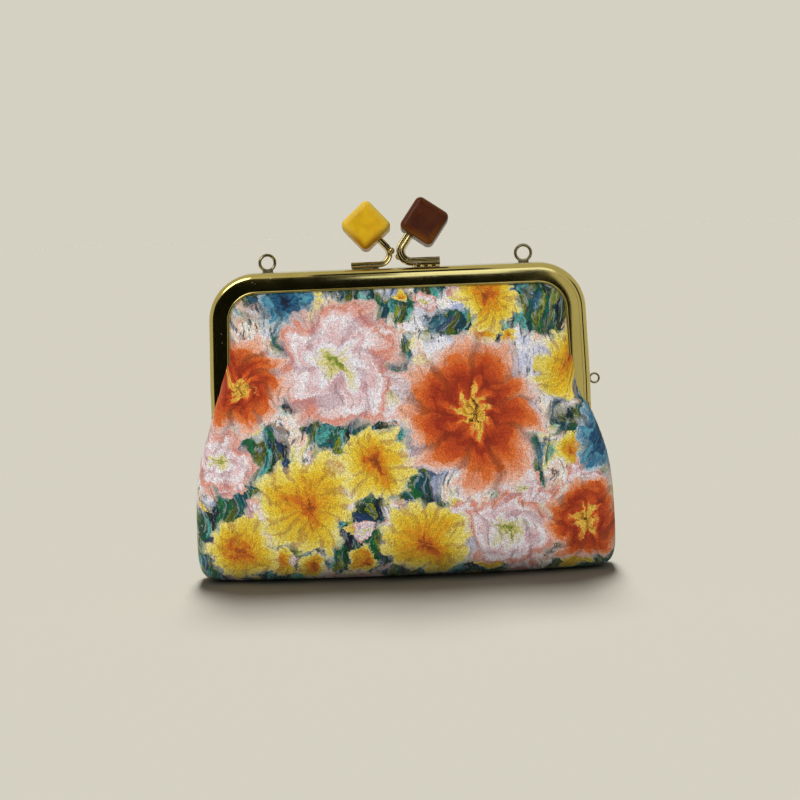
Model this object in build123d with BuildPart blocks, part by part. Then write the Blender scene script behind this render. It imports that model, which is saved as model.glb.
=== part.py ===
"""Coin purse with a hinged metal kiss-lock frame and a soft cloth pouch.

+X is to the right, +Y to the back and +Z up. The origin is the middle of the pouch's flat bottom,
and every length is in millimetres. Two U-shaped jaws turn on two rivets. Each jaw is a channel
that grips the edge of a cloth panel and its lining with a paper cord, and carries one clasp arm
with a resin bead. The arms pass each other in the middle, where their nubs snap.
"""

import os
from math import asin, cos, radians, sin, sqrt, tan

from build123d import *

# --- jaws -------------------------------------------------------------------------------------
JAW_HALF_WIDTH = 62.5  # outside of a side arm, at the hinge
JAW_LEAN_IN = 1.2  # how much further in the arms stand at the top bar
JAW_TOP = 101.5  # outside of the top bar
JAW_DEPTH = 6.25  # front face of one jaw to the parting plane
JAW_CORNER = 15.5  # outside corner in the front view
JAW_EDGE = 1.6  # rolled edge between face and outer wall
FACE_WIDTH = 6.2  # height of the visible face
INNER_FLANGE = 4.8  # the hidden wall is shorter than the face
WALL = 0.8  # sheet metal
RIM = 0.42  # radius of the rolled rim along the face's inner edge
BEADING = 2.3  # width of the raised band round the outside of the face
BEADING_STEP = 0.2  # height of that band over the face
PARTING = 0.15  # each jaw stops this far from the parting plane
KNEE_RADIUS = 90.0  # bend where an arm starts to lean in
KNEE_RISE = 14.0  # height of that bend over the hinge

# --- hinge ------------------------------------------------------------------------------------
HINGE_Z = 50.0
EAR_RADIUS = 4.0
EAR_GAP = 0.15  # between the two ears on a rivet
CHANNEL_CLEAR = 5.2  # the channels stop this far above the hinge axis
JOGGLE = 1.8  # height of the step that carries a rear ear inwards
RIVET_RADIUS = 1.2
RIVET_FIT = 0.05  # radial running clearance
RIVET_HEAD_RADIUS = 2.4
RIVET_HEAD = 1.1
RIVET_TAIL = 0.8
RIVET_END_PLAY = 0.1

# --- cloth held by the jaws -------------------------------------------------------------------
PRINT_CLOTH = 0.7
LINING = 0.4
PLY_GAP = 0.1  # between the print cloth and its lining
SLOT_PLAY = 0.15  # between the cloth and the channel's face
EDGE_PLAY = 0.3  # between the cloth's edge and the bottom of the channel
EDGE_EASE = 0.05  # the gripped edge lies this much behind the middle
OPENING_TURN = 45.0  # degrees that each jaw opens
KNUCKLE_RADIUS = 17.0  # the panel curls round the hinge axis at this radius in the middle
KNUCKLE_SIDE_RADIUS = 11.2  # and at this one beside the arms
TUCK_TURN = 14.0  # degrees that the panel reaches into the pouch below the hinge
RELEASE_RISE = 1.5  # the cloth is out in front of the arms up to this height over the curl
HOLD_RISE = 6.5  # and the channel grips it from this height over that up
PANEL_STEPS = 4  # levels in the curl
SHOULDER_DEPTH = 7.8  # of the panel in front of the parting plane where it leaves the arms
RELEASE_BULGE = 12.4  # depth of the panel's middle where it leaves the arms
HOLD_BULGE = 11.9  # where the channel grips it
UPPER_BULGE = 7.6  # and this far below the top bar's face:
UPPER_BULGE_DROP = 7.0
PANEL_INSET = 1.5  # of the panel's side edges below the grip, from the outside of the arms

# --- paper cord -------------------------------------------------------------------------------
CORD_PLAY = 0.1

# --- pouch ------------------------------------------------------------------------------------
TUCK_GAP = 0.4  # between the pouch's lining and the curl inside it
POUCH_TOP_DROP = 1.0  # the pouch's upper edge below the hinge axis
SEAM_GAP = 0.1  # between the front and back panels
HINGE_NOTCH = 6.6  # the cloth keeps this far from the hinge axis at the sides
POUCH_TOP_OUTSET = 1.1  # of the pouch's top edge beyond the arms, at each side
POUCH_OUTSET = 6.4  # of its widest level beyond the arms
POUCH_HALF_DEPTH = 23.4
POUCH_TOP_SIDE = 14.0  # half depth of the top edge's ends, where they turn
POUCH_TOP_CORNER = 5.0
POUCH_SIDE = 11.4  # half depth of the sides at the widest level
POUCH_CORNER = 10.6
POUCH_FORM = (  # height as a part of the whole; then the swell of width, depth, sides and corner
    (0.0, -4.8, -5.4, -5.2, -5.2),
    (0.012, -3.4, -4.2, -4.2, -4.2),
    (0.035, -2.0, -2.8, -3.0, -3.0),
    (0.08, -0.7, -1.4, -1.6, -1.6),
    (0.15, -0.1, -0.5, -0.5, -0.5),
    (0.29, 0.0, 0.0, 0.0, 0.0),
    (0.42, 0.0, -0.2, 0.2, 0.0),
    (0.55, -0.1, -0.8, 0.4, -0.1),
    (0.68, -0.6, -1.7, 0.7, -0.8),
    (0.79, -1.4, -2.6, 1.0, -1.8),
    (0.9, -2.9, -3.7, 1.7, -3.4),
)

# --- clasp ------------------------------------------------------------------------------------
ARM_WIDTH = 3.2  # of the strip that each arm is bent from, front to back
ARM_Y = 1.4  # its middle in front of the parting plane
FRONT_STRIP = 2.7  # thickness of the front arm's strip
REAR_STRIP = 1.9
STRIP_EDGE = 0.45
FLUTE_RADIUS = 0.75  # of the groove along each side of the strip
FLUTE_DEPTH = 0.35
FRONT_FOOT_RISE = 0.5  # underside of a foot over the top bar
REAR_FOOT_RISE = 0.3
FOOT_END = 14.6  # outer end of a foot, from the middle
ARM_REACH = 1.95  # closest approach of the strip's middle line to the middle
ARM_BEND = 3.4  # radius of that line
ARM_TIP = 8.0  # degrees that both stems lean to the back
SEAM_LENGTH = 8.4  # solder under a foot, from its outer end
SEAM_WIDTH = 2.0
WELD_RADIUS = 0.85
WELD_PITCH = 2.5
WELD_COUNT = 4
WELD_INSET = 0.3  # a weld's middle behind the foot's front
NUB_RADIUS = 1.15
NUB_CLEAR = 0.06  # from a nub to the middle
FRONT_NUB_OFFSET = 0.8  # a nub's middle past the parting plane
REAR_NUB_OFFSET = 0.2
FRONT_NUB_RISE = 3.6
REAR_NUB_RISE = 5.6
BEAD = 12.4
BEAD_EDGE = 2.0
BEAD_SOCKET = 4.0
SOCKET_PLAY = 0.05
PIN_RADIUS = 0.9
BROWN_BEAD_X = 10.0
BROWN_BEAD_RISE = 14.6  # centre over the top bar
BROWN_BEAD_TURN = 35.0
YELLOW_BEAD_X = 9.2
YELLOW_BEAD_RISE = 13.9
YELLOW_BEAD_TURN = 42.0

# --- rings ------------------------------------------------------------------------------------
RING_FROM_SIDE = 20.2  # a top ring's middle from the outside of the arm
RING_BORE = 2.05
RING_WIRE = 1.0
RING_LIFT = 0.1
LEFT_RING_TURN = 15.0
SOLDER_LENGTH = 3.4
SOLDER_WIDTH = 1.5
SOLDER_HEIGHT = 0.6
SIDE_RING_RISE = 12.2  # over the hinge
SIDE_RING_BORE = 1.2
SIDE_RING_WIRE = 0.65
SIDE_NECK = 0.5
SIDE_NECK_RADIUS = 0.95

FLOOR = -20.0  # well under everything, for cutters
JAW_MIDDLE = (JAW_DEPTH + PARTING) / 2  # middle of a jaw's depth, from the parting plane
CHANNEL_END = HINGE_Z + CHANNEL_CLEAR
KNEE_Z = HINGE_Z + KNEE_RISE
SLOT_DEPTH = JAW_DEPTH - WALL - SLOT_PLAY  # front of the gripped cloth, from the parting plane
POUCH_TOP = HINGE_Z - POUCH_TOP_DROP
POUCH_TOP_HALF_WIDTH = JAW_HALF_WIDTH + POUCH_TOP_OUTSET
POUCH_TOP_HALF_DEPTH = KNUCKLE_RADIUS + TUCK_GAP + LINING + PLY_GAP + PRINT_CLOTH
POUCH_HALF_WIDTH = JAW_HALF_WIDTH + POUCH_OUTSET
PANEL_HALF_WIDTH = JAW_HALF_WIDTH - PANEL_INSET
CURL_TOP = HINGE_Z + KNUCKLE_RADIUS * sin(radians(OPENING_TURN))
RELEASE_Z = CURL_TOP + RELEASE_RISE
HOLD_Z = RELEASE_Z + HOLD_RISE


def jaw_path(inset, bottom):
    """Open outline of a jaw in the front view, moved inwards by inset. For use in a BuildLine."""
    low = JAW_HALF_WIDTH - inset
    high = low - JAW_LEAN_IN
    top = JAW_TOP - inset
    corner = JAW_CORNER - inset
    return FilletPolyline(
        (-low, bottom),
        (-low, KNEE_Z),
        (-high, top),
        (high, top),
        (low, KNEE_Z),
        (low, bottom),
        radius=[KNEE_RADIUS, corner, corner, KNEE_RADIUS],
    )


def jaw_face(inset, bottom, mode=Mode.ADD):
    """The area inside jaw_path, closed along the bottom. For use in a BuildSketch."""
    with BuildLine() as outline:
        side = jaw_path(inset, bottom)
        Line(side @ 1, side @ 0)
    return make_face(outline.edges(), mode=mode)


def make_jaw(ear_outside, joggled):
    """A jaw in front of the parting plane: a stamped channel with an ear at each end."""
    with BuildPart() as jaw:
        with BuildSketch(Plane.XZ.offset(PARTING)):
            jaw_face(0, CHANNEL_END)
            jaw_face(FACE_WIDTH, FLOOR, mode=Mode.SUBTRACT)
        extrude(amount=JAW_DEPTH - PARTING)
        front = jaw.faces().sort_by(Axis.Y)[0]
        rolled = front.edges().filter_by(lambda e: on_outline(e @ 0.5))
        fillet(rolled, radius=JAW_EDGE)
        with BuildSketch(Plane.XZ.offset(PARTING + WALL)):
            jaw_face(WALL, FLOOR)
        extrude(amount=JAW_DEPTH - PARTING - 2 * WALL, mode=Mode.SUBTRACT)
        with BuildSketch(Plane.XZ.offset(JAW_DEPTH)):
            jaw_face(BEADING, FLOOR)
        extrude(amount=-BEADING_STEP, mode=Mode.SUBTRACT)
        with BuildSketch(Plane.XZ.offset(PARTING)):
            jaw_face(INNER_FLANGE, FLOOR)
        extrude(amount=WALL, mode=Mode.SUBTRACT)
        with BuildLine(Plane.XZ.offset(JAW_DEPTH - RIM)) as rim_path:
            jaw_path(FACE_WIDTH, CHANNEL_END)
        with BuildSketch(Plane(rim_path.line @ 0, z_dir=rim_path.line % 0)):
            Circle(RIM)
        sweep(path=rim_path.line)
        ear_depth = JAW_DEPTH - JAW_EDGE - PARTING
        ear_middle = -PARTING - ear_depth / 2
        for start in (ear_outside - WALL, -ear_outside):
            with BuildSketch(Plane.YZ.offset(start)):
                with BuildLine():
                    CenterArc((0, HINGE_Z), EAR_RADIUS, 0, 360)
                    Line((-PARTING - ear_depth, CHANNEL_END), (-PARTING, CHANNEL_END))
                make_hull()
                if joggled:
                    with Locations((ear_middle, CHANNEL_END + JOGGLE / 2)):
                        Rectangle(ear_depth, JOGGLE)
                with Locations((0, HINGE_Z)):
                    Circle(RIVET_RADIUS + RIVET_FIT, mode=Mode.SUBTRACT)
            extrude(amount=WALL)
        if joggled:
            step = JAW_HALF_WIDTH - (ear_outside - WALL)
            middle = JAW_HALF_WIDTH - step / 2
            height = CHANNEL_END + JOGGLE / 2
            with Locations((middle, ear_middle, height), (-middle, ear_middle, height)):
                Box(step, ear_depth, JOGGLE)
    return jaw.part


def on_outline(point):
    """Whether a point of a jaw's front face lies on its outer edge."""
    side = abs(point.X) > JAW_HALF_WIDTH - JAW_LEAN_IN - WALL
    top = point.Z > JAW_TOP - WALL
    corner_x = JAW_HALF_WIDTH - JAW_LEAN_IN - JAW_CORNER
    corner_z = JAW_TOP - JAW_CORNER
    reach = sqrt(max(abs(point.X) - corner_x, 0) ** 2 + max(point.Z - corner_z, 0) ** 2)
    corner = point.Z > corner_z and reach > JAW_CORNER - WALL
    return (side or top or corner) and point.Z > CHANNEL_END + WALL


# --- front and rear frames --------------------------------------------------------------------
with BuildPart() as front_frame:
    add(make_jaw(JAW_HALF_WIDTH, joggled=False))

with BuildPart() as rear_frame:
    add(make_jaw(JAW_HALF_WIDTH - WALL - EAR_GAP, joggled=True))
    mirror(about=Plane.XZ, mode=Mode.REPLACE)


# --- rivets -----------------------------------------------------------------------------------
RIVET_INSIDE = JAW_HALF_WIDTH - 2 * WALL - EAR_GAP - RIVET_END_PLAY
RIVET_OUTSIDE = JAW_HALF_WIDTH + RIVET_END_PLAY
DOME_RADIUS = (RIVET_HEAD**2 + RIVET_HEAD_RADIUS**2) / (2 * RIVET_HEAD)
DOME_CENTRE = RIVET_OUTSIDE + RIVET_HEAD - DOME_RADIUS
DOME_TURN = asin(RIVET_HEAD_RADIUS / DOME_RADIUS) / 2
with BuildPart() as hinge_rivet_right:
    with BuildSketch(Plane.XZ):
        with BuildLine():
            Polyline(
                (RIVET_OUTSIDE + RIVET_HEAD, HINGE_Z),
                (RIVET_INSIDE - RIVET_TAIL, HINGE_Z),
                (RIVET_INSIDE - RIVET_TAIL, HINGE_Z + RIVET_HEAD_RADIUS),
                (RIVET_INSIDE, HINGE_Z + RIVET_HEAD_RADIUS),
                (RIVET_INSIDE, HINGE_Z + RIVET_RADIUS),
                (RIVET_OUTSIDE, HINGE_Z + RIVET_RADIUS),
                (RIVET_OUTSIDE, HINGE_Z + RIVET_HEAD_RADIUS),
            )
            ThreePointArc(
                (RIVET_OUTSIDE, HINGE_Z + RIVET_HEAD_RADIUS),
                (DOME_CENTRE + DOME_RADIUS * cos(DOME_TURN), HINGE_Z + DOME_RADIUS * sin(DOME_TURN)),
                (RIVET_OUTSIDE + RIVET_HEAD, HINGE_Z),
            )
        make_face()
    revolve(axis=Axis((0, 0, HINGE_Z), (1, 0, 0)))

with BuildPart() as hinge_rivet_left:
    add(hinge_rivet_right.part)
    mirror(about=Plane.YZ, mode=Mode.REPLACE)


# --- pouch ------------------------------------------------------------------------------------
def pouch_section(width, depth, side, corner, inset):
    """A level of the pouch: two swelled panels that turn into narrow sides, drawn in by inset."""
    swell = depth - side
    radius = (width**2 + swell**2) / (2 * swell)  # of the swelled panels
    low = width - inset
    turn = sqrt((radius - inset) ** 2 - low**2) - (radius - depth)
    with BuildSketch(mode=Mode.PRIVATE) as section:
        with BuildLine():
            ThreePointArc((-low, -turn), (0, inset - depth), (low, -turn))
            Line((low, -turn), (low, turn))
            ThreePointArc((low, turn), (0, depth - inset), (-low, turn))
            Line((-low, turn), (-low, -turn))
        make_face()
        fillet(section.vertices(), radius=corner - inset)
    return section.sketch


def pouch_form(inset):
    """The pouch's outer form, drawn in by inset at its sides and bottom."""
    with BuildPart() as form:
        for share, width, depth, side, corner in POUCH_FORM:
            level = (
                POUCH_HALF_WIDTH + width,
                POUCH_HALF_DEPTH + depth,
                POUCH_SIDE + side,
                POUCH_CORNER + corner,
            )
            with BuildSketch(Plane.XY.offset(inset + share * (POUCH_TOP - inset))):
                add(pouch_section(*level, inset))
        top_edge = (POUCH_TOP_HALF_WIDTH, POUCH_TOP_HALF_DEPTH, POUCH_TOP_SIDE, POUCH_TOP_CORNER)
        with BuildSketch(Plane.XY.offset(POUCH_TOP)):
            add(pouch_section(*top_edge, inset))
        loft(ruled=True)
    return form.part


def make_pouch_half(outside, thickness):
    """One ply of the pouch's front half, with a notch round each hinge."""
    with BuildPart() as ply:
        add(pouch_form(outside))
        add(pouch_form(outside + thickness), mode=Mode.SUBTRACT)
        with BuildSketch(Plane.YZ):
            with Locations((0, HINGE_Z)):
                Circle(HINGE_NOTCH)
        extrude(amount=POUCH_HALF_WIDTH, both=True, mode=Mode.SUBTRACT)
        split(bisect_by=Plane.XZ.offset(SEAM_GAP / 2), keep=Keep.TOP)
    return ply.part


with BuildPart() as front_pouch_panel:
    add(make_pouch_half(0, PRINT_CLOTH))

with BuildPart() as rear_pouch_panel:
    add(front_pouch_panel.part)
    mirror(about=Plane.XZ, mode=Mode.REPLACE)

with BuildPart() as front_pouch_lining:
    add(make_pouch_half(PRINT_CLOTH + PLY_GAP, LINING))

with BuildPart() as rear_pouch_lining:
    add(front_pouch_lining.part)
    mirror(about=Plane.XZ, mode=Mode.REPLACE)


# --- panels held by the jaws ------------------------------------------------------------------
def curl_depth(radius, rise):
    """Depth of a curl round the hinge axis at a height over it."""
    return sqrt(radius**2 - rise**2)


def panel_levels():
    """Height, then depth in the middle, beside the face and at the side, and both half widths."""
    levels = []
    inside_face = JAW_HALF_WIDTH - FACE_WIDTH - RIM - SLOT_PLAY
    for step in range(PANEL_STEPS + 1):
        turn = radians(-TUCK_TURN + step * (TUCK_TURN + OPENING_TURN) / PANEL_STEPS)
        rise = KNUCKLE_RADIUS * sin(turn)
        turned = KNUCKLE_SIDE_RADIUS * sin(radians(OPENING_TURN))
        side = curl_depth(KNUCKLE_SIDE_RADIUS, min(rise, turned))
        middle = curl_depth(KNUCKLE_RADIUS, rise)
        levels.append((HINGE_Z + rise, middle, side, side, inside_face, PANEL_HALF_WIDTH))
    levels.append(
        (RELEASE_Z, RELEASE_BULGE, SHOULDER_DEPTH, SHOULDER_DEPTH, inside_face, PANEL_HALF_WIDTH)
    )
    face_end = JAW_TOP - FACE_WIDTH - RIM
    for z, middle in (
        (HOLD_Z, HOLD_BULGE),
        (face_end - UPPER_BULGE_DROP, UPPER_BULGE),
        (face_end, SLOT_DEPTH),
        (JAW_TOP - WALL - EDGE_PLAY, SLOT_DEPTH),
    ):
        lean = JAW_LEAN_IN * (z - KNEE_Z) / (JAW_TOP - KNEE_Z)
        gripped = JAW_HALF_WIDTH - WALL - EDGE_PLAY - lean
        edge = SLOT_DEPTH - EDGE_EASE
        levels.append((z, middle, edge, edge, inside_face - lean, gripped))
    return levels


def panel_form(shift, widen):
    """Solid behind the panel's front surface, moved back by shift and widened at its sides."""
    with BuildPart() as form:
        for z, middle, beside, side, near, far in panel_levels():
            with BuildSketch(Plane.XY.offset(z)):
                with BuildLine():
                    ThreePointArc((-near, shift - beside), (0, shift - middle), (near, shift - beside))
                    Polyline(
                        (near, shift - beside),
                        (far + widen, shift - side),
                        (far + widen, 0),
                        (-far - widen, 0),
                        (-far - widen, shift - side),
                        (-near, shift - beside),
                    )
                make_face()
        loft(ruled=True)
    return form.part


def make_panel(shift, thickness):
    """One ply of a jaw's panel: its edge lies in the channel, its lower part in front of the arms."""
    with BuildPart() as ply:
        add(panel_form(shift, 0))
        add(panel_form(shift + thickness, 1), mode=Mode.SUBTRACT)
        with BuildSketch(Plane.XZ):
            jaw_face(WALL + EDGE_PLAY, FLOOR)
            with Locations((0, (HOLD_Z + RELEASE_Z) / 2)):
                Rectangle(2 * JAW_HALF_WIDTH, HOLD_RISE, mode=Mode.SUBTRACT)
            jaw_face(FACE_WIDTH + RIM + SLOT_PLAY, FLOOR)
        extrude(amount=POUCH_HALF_DEPTH, mode=Mode.INTERSECT)
    return ply.part


with BuildPart() as front_upper_panel:
    add(make_panel(0, PRINT_CLOTH))

with BuildPart() as rear_upper_panel:
    add(front_upper_panel.part)
    mirror(about=Plane.XZ, mode=Mode.REPLACE)

with BuildPart() as front_upper_lining:
    add(make_panel(PRINT_CLOTH + PLY_GAP, LINING))

with BuildPart() as rear_upper_lining:
    add(front_upper_lining.part)
    mirror(about=Plane.XZ, mode=Mode.REPLACE)

# --- paper cords ------------------------------------------------------------------------------
LINING_BACK = SLOT_DEPTH - PRINT_CLOTH - PLY_GAP - LINING
FLANGE_FRONT = PARTING + WALL
CORD_RADIUS = (LINING_BACK - FLANGE_FRONT) / 2 - CORD_PLAY
CORD_PLANE = Plane.XZ.offset((LINING_BACK + FLANGE_FRONT) / 2)
with BuildPart() as front_paper_cord:
    with BuildLine(CORD_PLANE) as cord_path:
        jaw_path(WALL + EDGE_PLAY + CORD_RADIUS, CHANNEL_END + JOGGLE + EDGE_PLAY)
    with BuildSketch(Plane(cord_path.line @ 0, z_dir=cord_path.line % 0)):
        Circle(CORD_RADIUS)
    sweep(path=cord_path.line)

with BuildPart() as rear_paper_cord:
    add(front_paper_cord.part)
    mirror(about=Plane.XZ, mode=Mode.REPLACE)


# --- clasp ------------------------------------------------------------------------------------
def arm_lines(strip, foot_rise, bead_x, bead_rise, turn, tip):
    """An arm's plane through its foot's middle line, then places and the stem's lean in that plane."""
    foot_z = JAW_TOP + foot_rise + strip / 2
    facing = (0, -cos(radians(tip)), sin(radians(tip)))
    plane = Plane((0, -ARM_Y, foot_z), x_dir=(1, 0, 0), z_dir=facing)
    lean = Vector(sin(radians(turn)), cos(radians(turn)))
    across = Vector(lean.Y, -lean.X)
    meet = Vector(ARM_REACH - ARM_BEND * (tan(radians(90 + turn) / 2) - 1), 0)
    centre = Vector(bead_x, JAW_TOP + bead_rise - foot_z)
    seat = centre - across * (centre - meet).dot(across) - lean * (BEAD / 2)
    return plane, meet, centre, seat, lean


def in_space(plane, direction):
    """A direction in a plane as one in space."""
    return plane.x_dir * direction.X + plane.y_dir * direction.Y


def make_arm(size, nub_rise, nub_y):
    """The front jaw's arm: one fluted strip, bent from its soldered foot up to its bead."""
    strip, foot_rise = size[:2]
    plane, meet, centre, seat, lean = arm_lines(*size)
    with BuildPart() as arm:
        with BuildLine(plane) as middle_line:
            FilletPolyline((FOOT_END, 0), (meet.X, 0), (seat.X, seat.Y), radius=ARM_BEND)
        path = middle_line.line
        with BuildSketch(Plane(path @ 0, x_dir=(0, 1, 0), z_dir=path % 0)):
            RectangleRounded(ARM_WIDTH, strip, STRIP_EDGE)
            flute = ARM_WIDTH / 2 + FLUTE_RADIUS - FLUTE_DEPTH
            with Locations((flute, 0), (-flute, 0)):
                Circle(FLUTE_RADIUS, mode=Mode.SUBTRACT)
        sweep(path=path)
        with BuildSketch(Plane(path @ 1, z_dir=in_space(plane, lean))):
            Circle(PIN_RADIUS)
        extrude(amount=BEAD_SOCKET)
        with Locations((NUB_CLEAR + NUB_RADIUS, nub_y, JAW_TOP + nub_rise)):
            Sphere(NUB_RADIUS)
        with Locations((FOOT_END - STRIP_EDGE - SEAM_LENGTH / 2, -ARM_Y, JAW_TOP + foot_rise / 2)):
            Box(SEAM_LENGTH, SEAM_WIDTH, foot_rise)
        weld_z = JAW_TOP + foot_rise - WELD_RADIUS / 2
        for number in range(WELD_COUNT):
            x = FOOT_END - WELD_RADIUS - number * WELD_PITCH
            with Locations((x, -ARM_Y - ARM_WIDTH / 2 + WELD_INSET, weld_z)):
                Sphere(WELD_RADIUS)
        split(bisect_by=Plane.XY.offset(JAW_TOP), keep=Keep.TOP)
    return arm.part


def make_bead(size):
    """A cube with rounded edges on its arm's stem, with a blind socket for its pin."""
    plane, meet, centre, seat, lean = arm_lines(*size)
    axis = in_space(plane, lean)
    with BuildPart(Plane(plane.from_local_coords(centre), x_dir=plane.z_dir, z_dir=axis)) as bead:
        Box(BEAD, BEAD, BEAD)
        fillet(bead.edges(), radius=BEAD_EDGE)
        with BuildSketch(Plane(plane.from_local_coords(seat), z_dir=axis)):
            Circle(PIN_RADIUS + SOCKET_PLAY)
        extrude(amount=BEAD_SOCKET + SOCKET_PLAY, mode=Mode.SUBTRACT)
    return bead.part


FRONT_ARM = (FRONT_STRIP, FRONT_FOOT_RISE, BROWN_BEAD_X, BROWN_BEAD_RISE, BROWN_BEAD_TURN, ARM_TIP)
REAR_ARM = (REAR_STRIP, REAR_FOOT_RISE, YELLOW_BEAD_X, YELLOW_BEAD_RISE, YELLOW_BEAD_TURN, -ARM_TIP)
with BuildPart() as front_clasp_arm:
    add(make_arm(FRONT_ARM, FRONT_NUB_RISE, FRONT_NUB_OFFSET))

with BuildPart() as rear_clasp_arm:
    add(make_arm(REAR_ARM, REAR_NUB_RISE, REAR_NUB_OFFSET))
    mirror(about=Plane.XZ, mode=Mode.REPLACE)
    mirror(about=Plane.YZ, mode=Mode.REPLACE)

with BuildPart() as brown_bead:
    add(make_bead(FRONT_ARM))

with BuildPart() as yellow_bead:
    add(make_bead(REAR_ARM))
    mirror(about=Plane.XZ, mode=Mode.REPLACE)
    mirror(about=Plane.YZ, mode=Mode.REPLACE)

# --- rings ------------------------------------------------------------------------------------
RING_X = JAW_HALF_WIDTH - RING_FROM_SIDE
RING_CENTRE = RING_BORE + RING_WIRE / 2  # radius of the wire's centre line
with BuildPart() as top_eye_right:
    with Locations((RING_X, JAW_MIDDLE, JAW_TOP + RING_CENTRE + RING_WIRE / 2 + RING_LIFT)):
        Torus(RING_CENTRE, RING_WIRE / 2, rotation=(90, 0, 0))
    with Locations((RING_X, JAW_MIDDLE, JAW_TOP + SOLDER_HEIGHT / 2)):
        Box(SOLDER_LENGTH, SOLDER_WIDTH, SOLDER_HEIGHT)

with BuildPart() as top_eye_left:
    with Locations(Location((-RING_X, JAW_MIDDLE, JAW_TOP), (0, 0, LEFT_RING_TURN))):
        with Locations((0, 0, RING_CENTRE + RING_WIRE / 2 + RING_LIFT)):
            Torus(RING_CENTRE, RING_WIRE / 2, rotation=(90, 0, 0))
        with Locations((0, 0, SOLDER_HEIGHT / 2)):
            Box(SOLDER_LENGTH, SOLDER_WIDTH, SOLDER_HEIGHT)

SIDE_CENTRE = SIDE_RING_BORE + SIDE_RING_WIRE / 2
with BuildPart() as side_eye:
    with BuildSketch(Plane.YZ.offset(JAW_HALF_WIDTH)):
        with Locations((JAW_MIDDLE, HINGE_Z + SIDE_RING_RISE)):
            Circle(SIDE_NECK_RADIUS)
    extrude(amount=SIDE_NECK)
    with Locations(
        (JAW_HALF_WIDTH + SIDE_NECK + SIDE_CENTRE, JAW_MIDDLE, HINGE_Z + SIDE_RING_RISE)
    ):
        Torus(SIDE_CENTRE, SIDE_RING_WIRE / 2, rotation=(90, 0, 0))

PIECES = {
    "front_frame": front_frame,
    "rear_frame": rear_frame,
    "hinge_rivet_left": hinge_rivet_left,
    "hinge_rivet_right": hinge_rivet_right,
    "front_upper_panel": front_upper_panel,
    "rear_upper_panel": rear_upper_panel,
    "front_upper_lining": front_upper_lining,
    "rear_upper_lining": rear_upper_lining,
    "front_pouch_panel": front_pouch_panel,
    "rear_pouch_panel": rear_pouch_panel,
    "front_pouch_lining": front_pouch_lining,
    "rear_pouch_lining": rear_pouch_lining,
    "front_paper_cord": front_paper_cord,
    "rear_paper_cord": rear_paper_cord,
    "front_clasp_arm": front_clasp_arm,
    "rear_clasp_arm": rear_clasp_arm,
    "brown_bead": brown_bead,
    "yellow_bead": yellow_bead,
    "top_eye_left": top_eye_left,
    "top_eye_right": top_eye_right,
    "side_eye": side_eye,
}
os.makedirs("parts", exist_ok=True)
for name, piece in PIECES.items():
    piece.part.label = name
    export_step(piece.part, f"parts/{name}.step")
    print(f"{name:20} {piece.part.volume:9.1f} mm3  {len(piece.part.solids())} solid")
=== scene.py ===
import math

import bpy
import numpy as np
from mathutils import Matrix, Vector


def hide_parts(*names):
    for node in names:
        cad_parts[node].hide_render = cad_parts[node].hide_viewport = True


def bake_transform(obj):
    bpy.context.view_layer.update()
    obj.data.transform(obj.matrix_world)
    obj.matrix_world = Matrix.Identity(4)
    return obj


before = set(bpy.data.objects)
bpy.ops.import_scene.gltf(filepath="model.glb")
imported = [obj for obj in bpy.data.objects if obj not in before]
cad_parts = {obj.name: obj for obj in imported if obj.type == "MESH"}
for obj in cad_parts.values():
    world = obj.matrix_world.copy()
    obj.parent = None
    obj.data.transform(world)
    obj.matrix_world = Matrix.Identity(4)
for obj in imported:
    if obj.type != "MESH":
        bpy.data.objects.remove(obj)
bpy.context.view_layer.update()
MM = 0.001

# ---------------------------------------------------------------------------------------------
# Helpers
# ---------------------------------------------------------------------------------------------


def colour(text):
    """A linear RGBA colour from an sRGB hex value."""
    values = [int(text[i : i + 2], 16) / 255 for i in (1, 3, 5)]
    linear = [v / 12.92 if v <= 0.04045 else ((v + 0.055) / 1.055) ** 2.4 for v in values]
    return (*linear, 1.0)


def fill(node, inputs):
    """Fills a node's inputs, by name or index, with values, hex colours, sockets or whole nodes.

    A whole node stands for its first output in use. Of a Map Range node, inputs 1 to 4 are from
    min, from max, to min and to max; of a Mix node, 4 and 5 are its vectors, 6 and 7 its colours.
    """
    for name, value in inputs.items():
        if isinstance(value, bpy.types.Node):
            value = next(socket for socket in value.outputs if socket.enabled)
        if isinstance(value, bpy.types.NodeSocket):
            node.id_data.links.new(value, node.inputs[name])
        else:
            value = colour(value) if isinstance(value, str) else value
            node.inputs[name].default_value = value


def add(tree, kind, inputs=None, **settings):
    """Adds a node and fills its inputs. Settings are its own properties."""
    made = tree.nodes.new(kind if kind.startswith("Node") else "ShaderNode" + kind)
    for name, value in settings.items():
        setattr(made, name, value)
    fill(made, inputs or {})
    return made


def set_stops(ramp, stops):
    """Sets a ramp's stops: pairs of place and hex colour."""
    elements = ramp.color_ramp.elements
    while len(elements) > 1:
        elements.remove(elements[-1])
    elements[0].position = stops[0][0]
    elements[0].color = colour(stops[0][1])
    for place, tint in stops[1:]:
        elements.new(place).color = colour(tint)


def new_material(name):
    """An empty node material: its tree and its principled shader, already wired to the output."""
    material = bpy.data.materials.new(name)
    material.use_nodes = True
    tree = material.node_tree
    tree.nodes.clear()
    shader = add(tree, "BsdfPrincipled")
    add(tree, "OutputMaterial", {"Surface": shader})
    return material, tree, shader


def dress(piece, material):
    """Gives a piece, or a CAD node by name, one material all over."""
    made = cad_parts[piece] if isinstance(piece, str) else piece
    made.data.materials.clear()
    made.data.materials.append(material)


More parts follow.
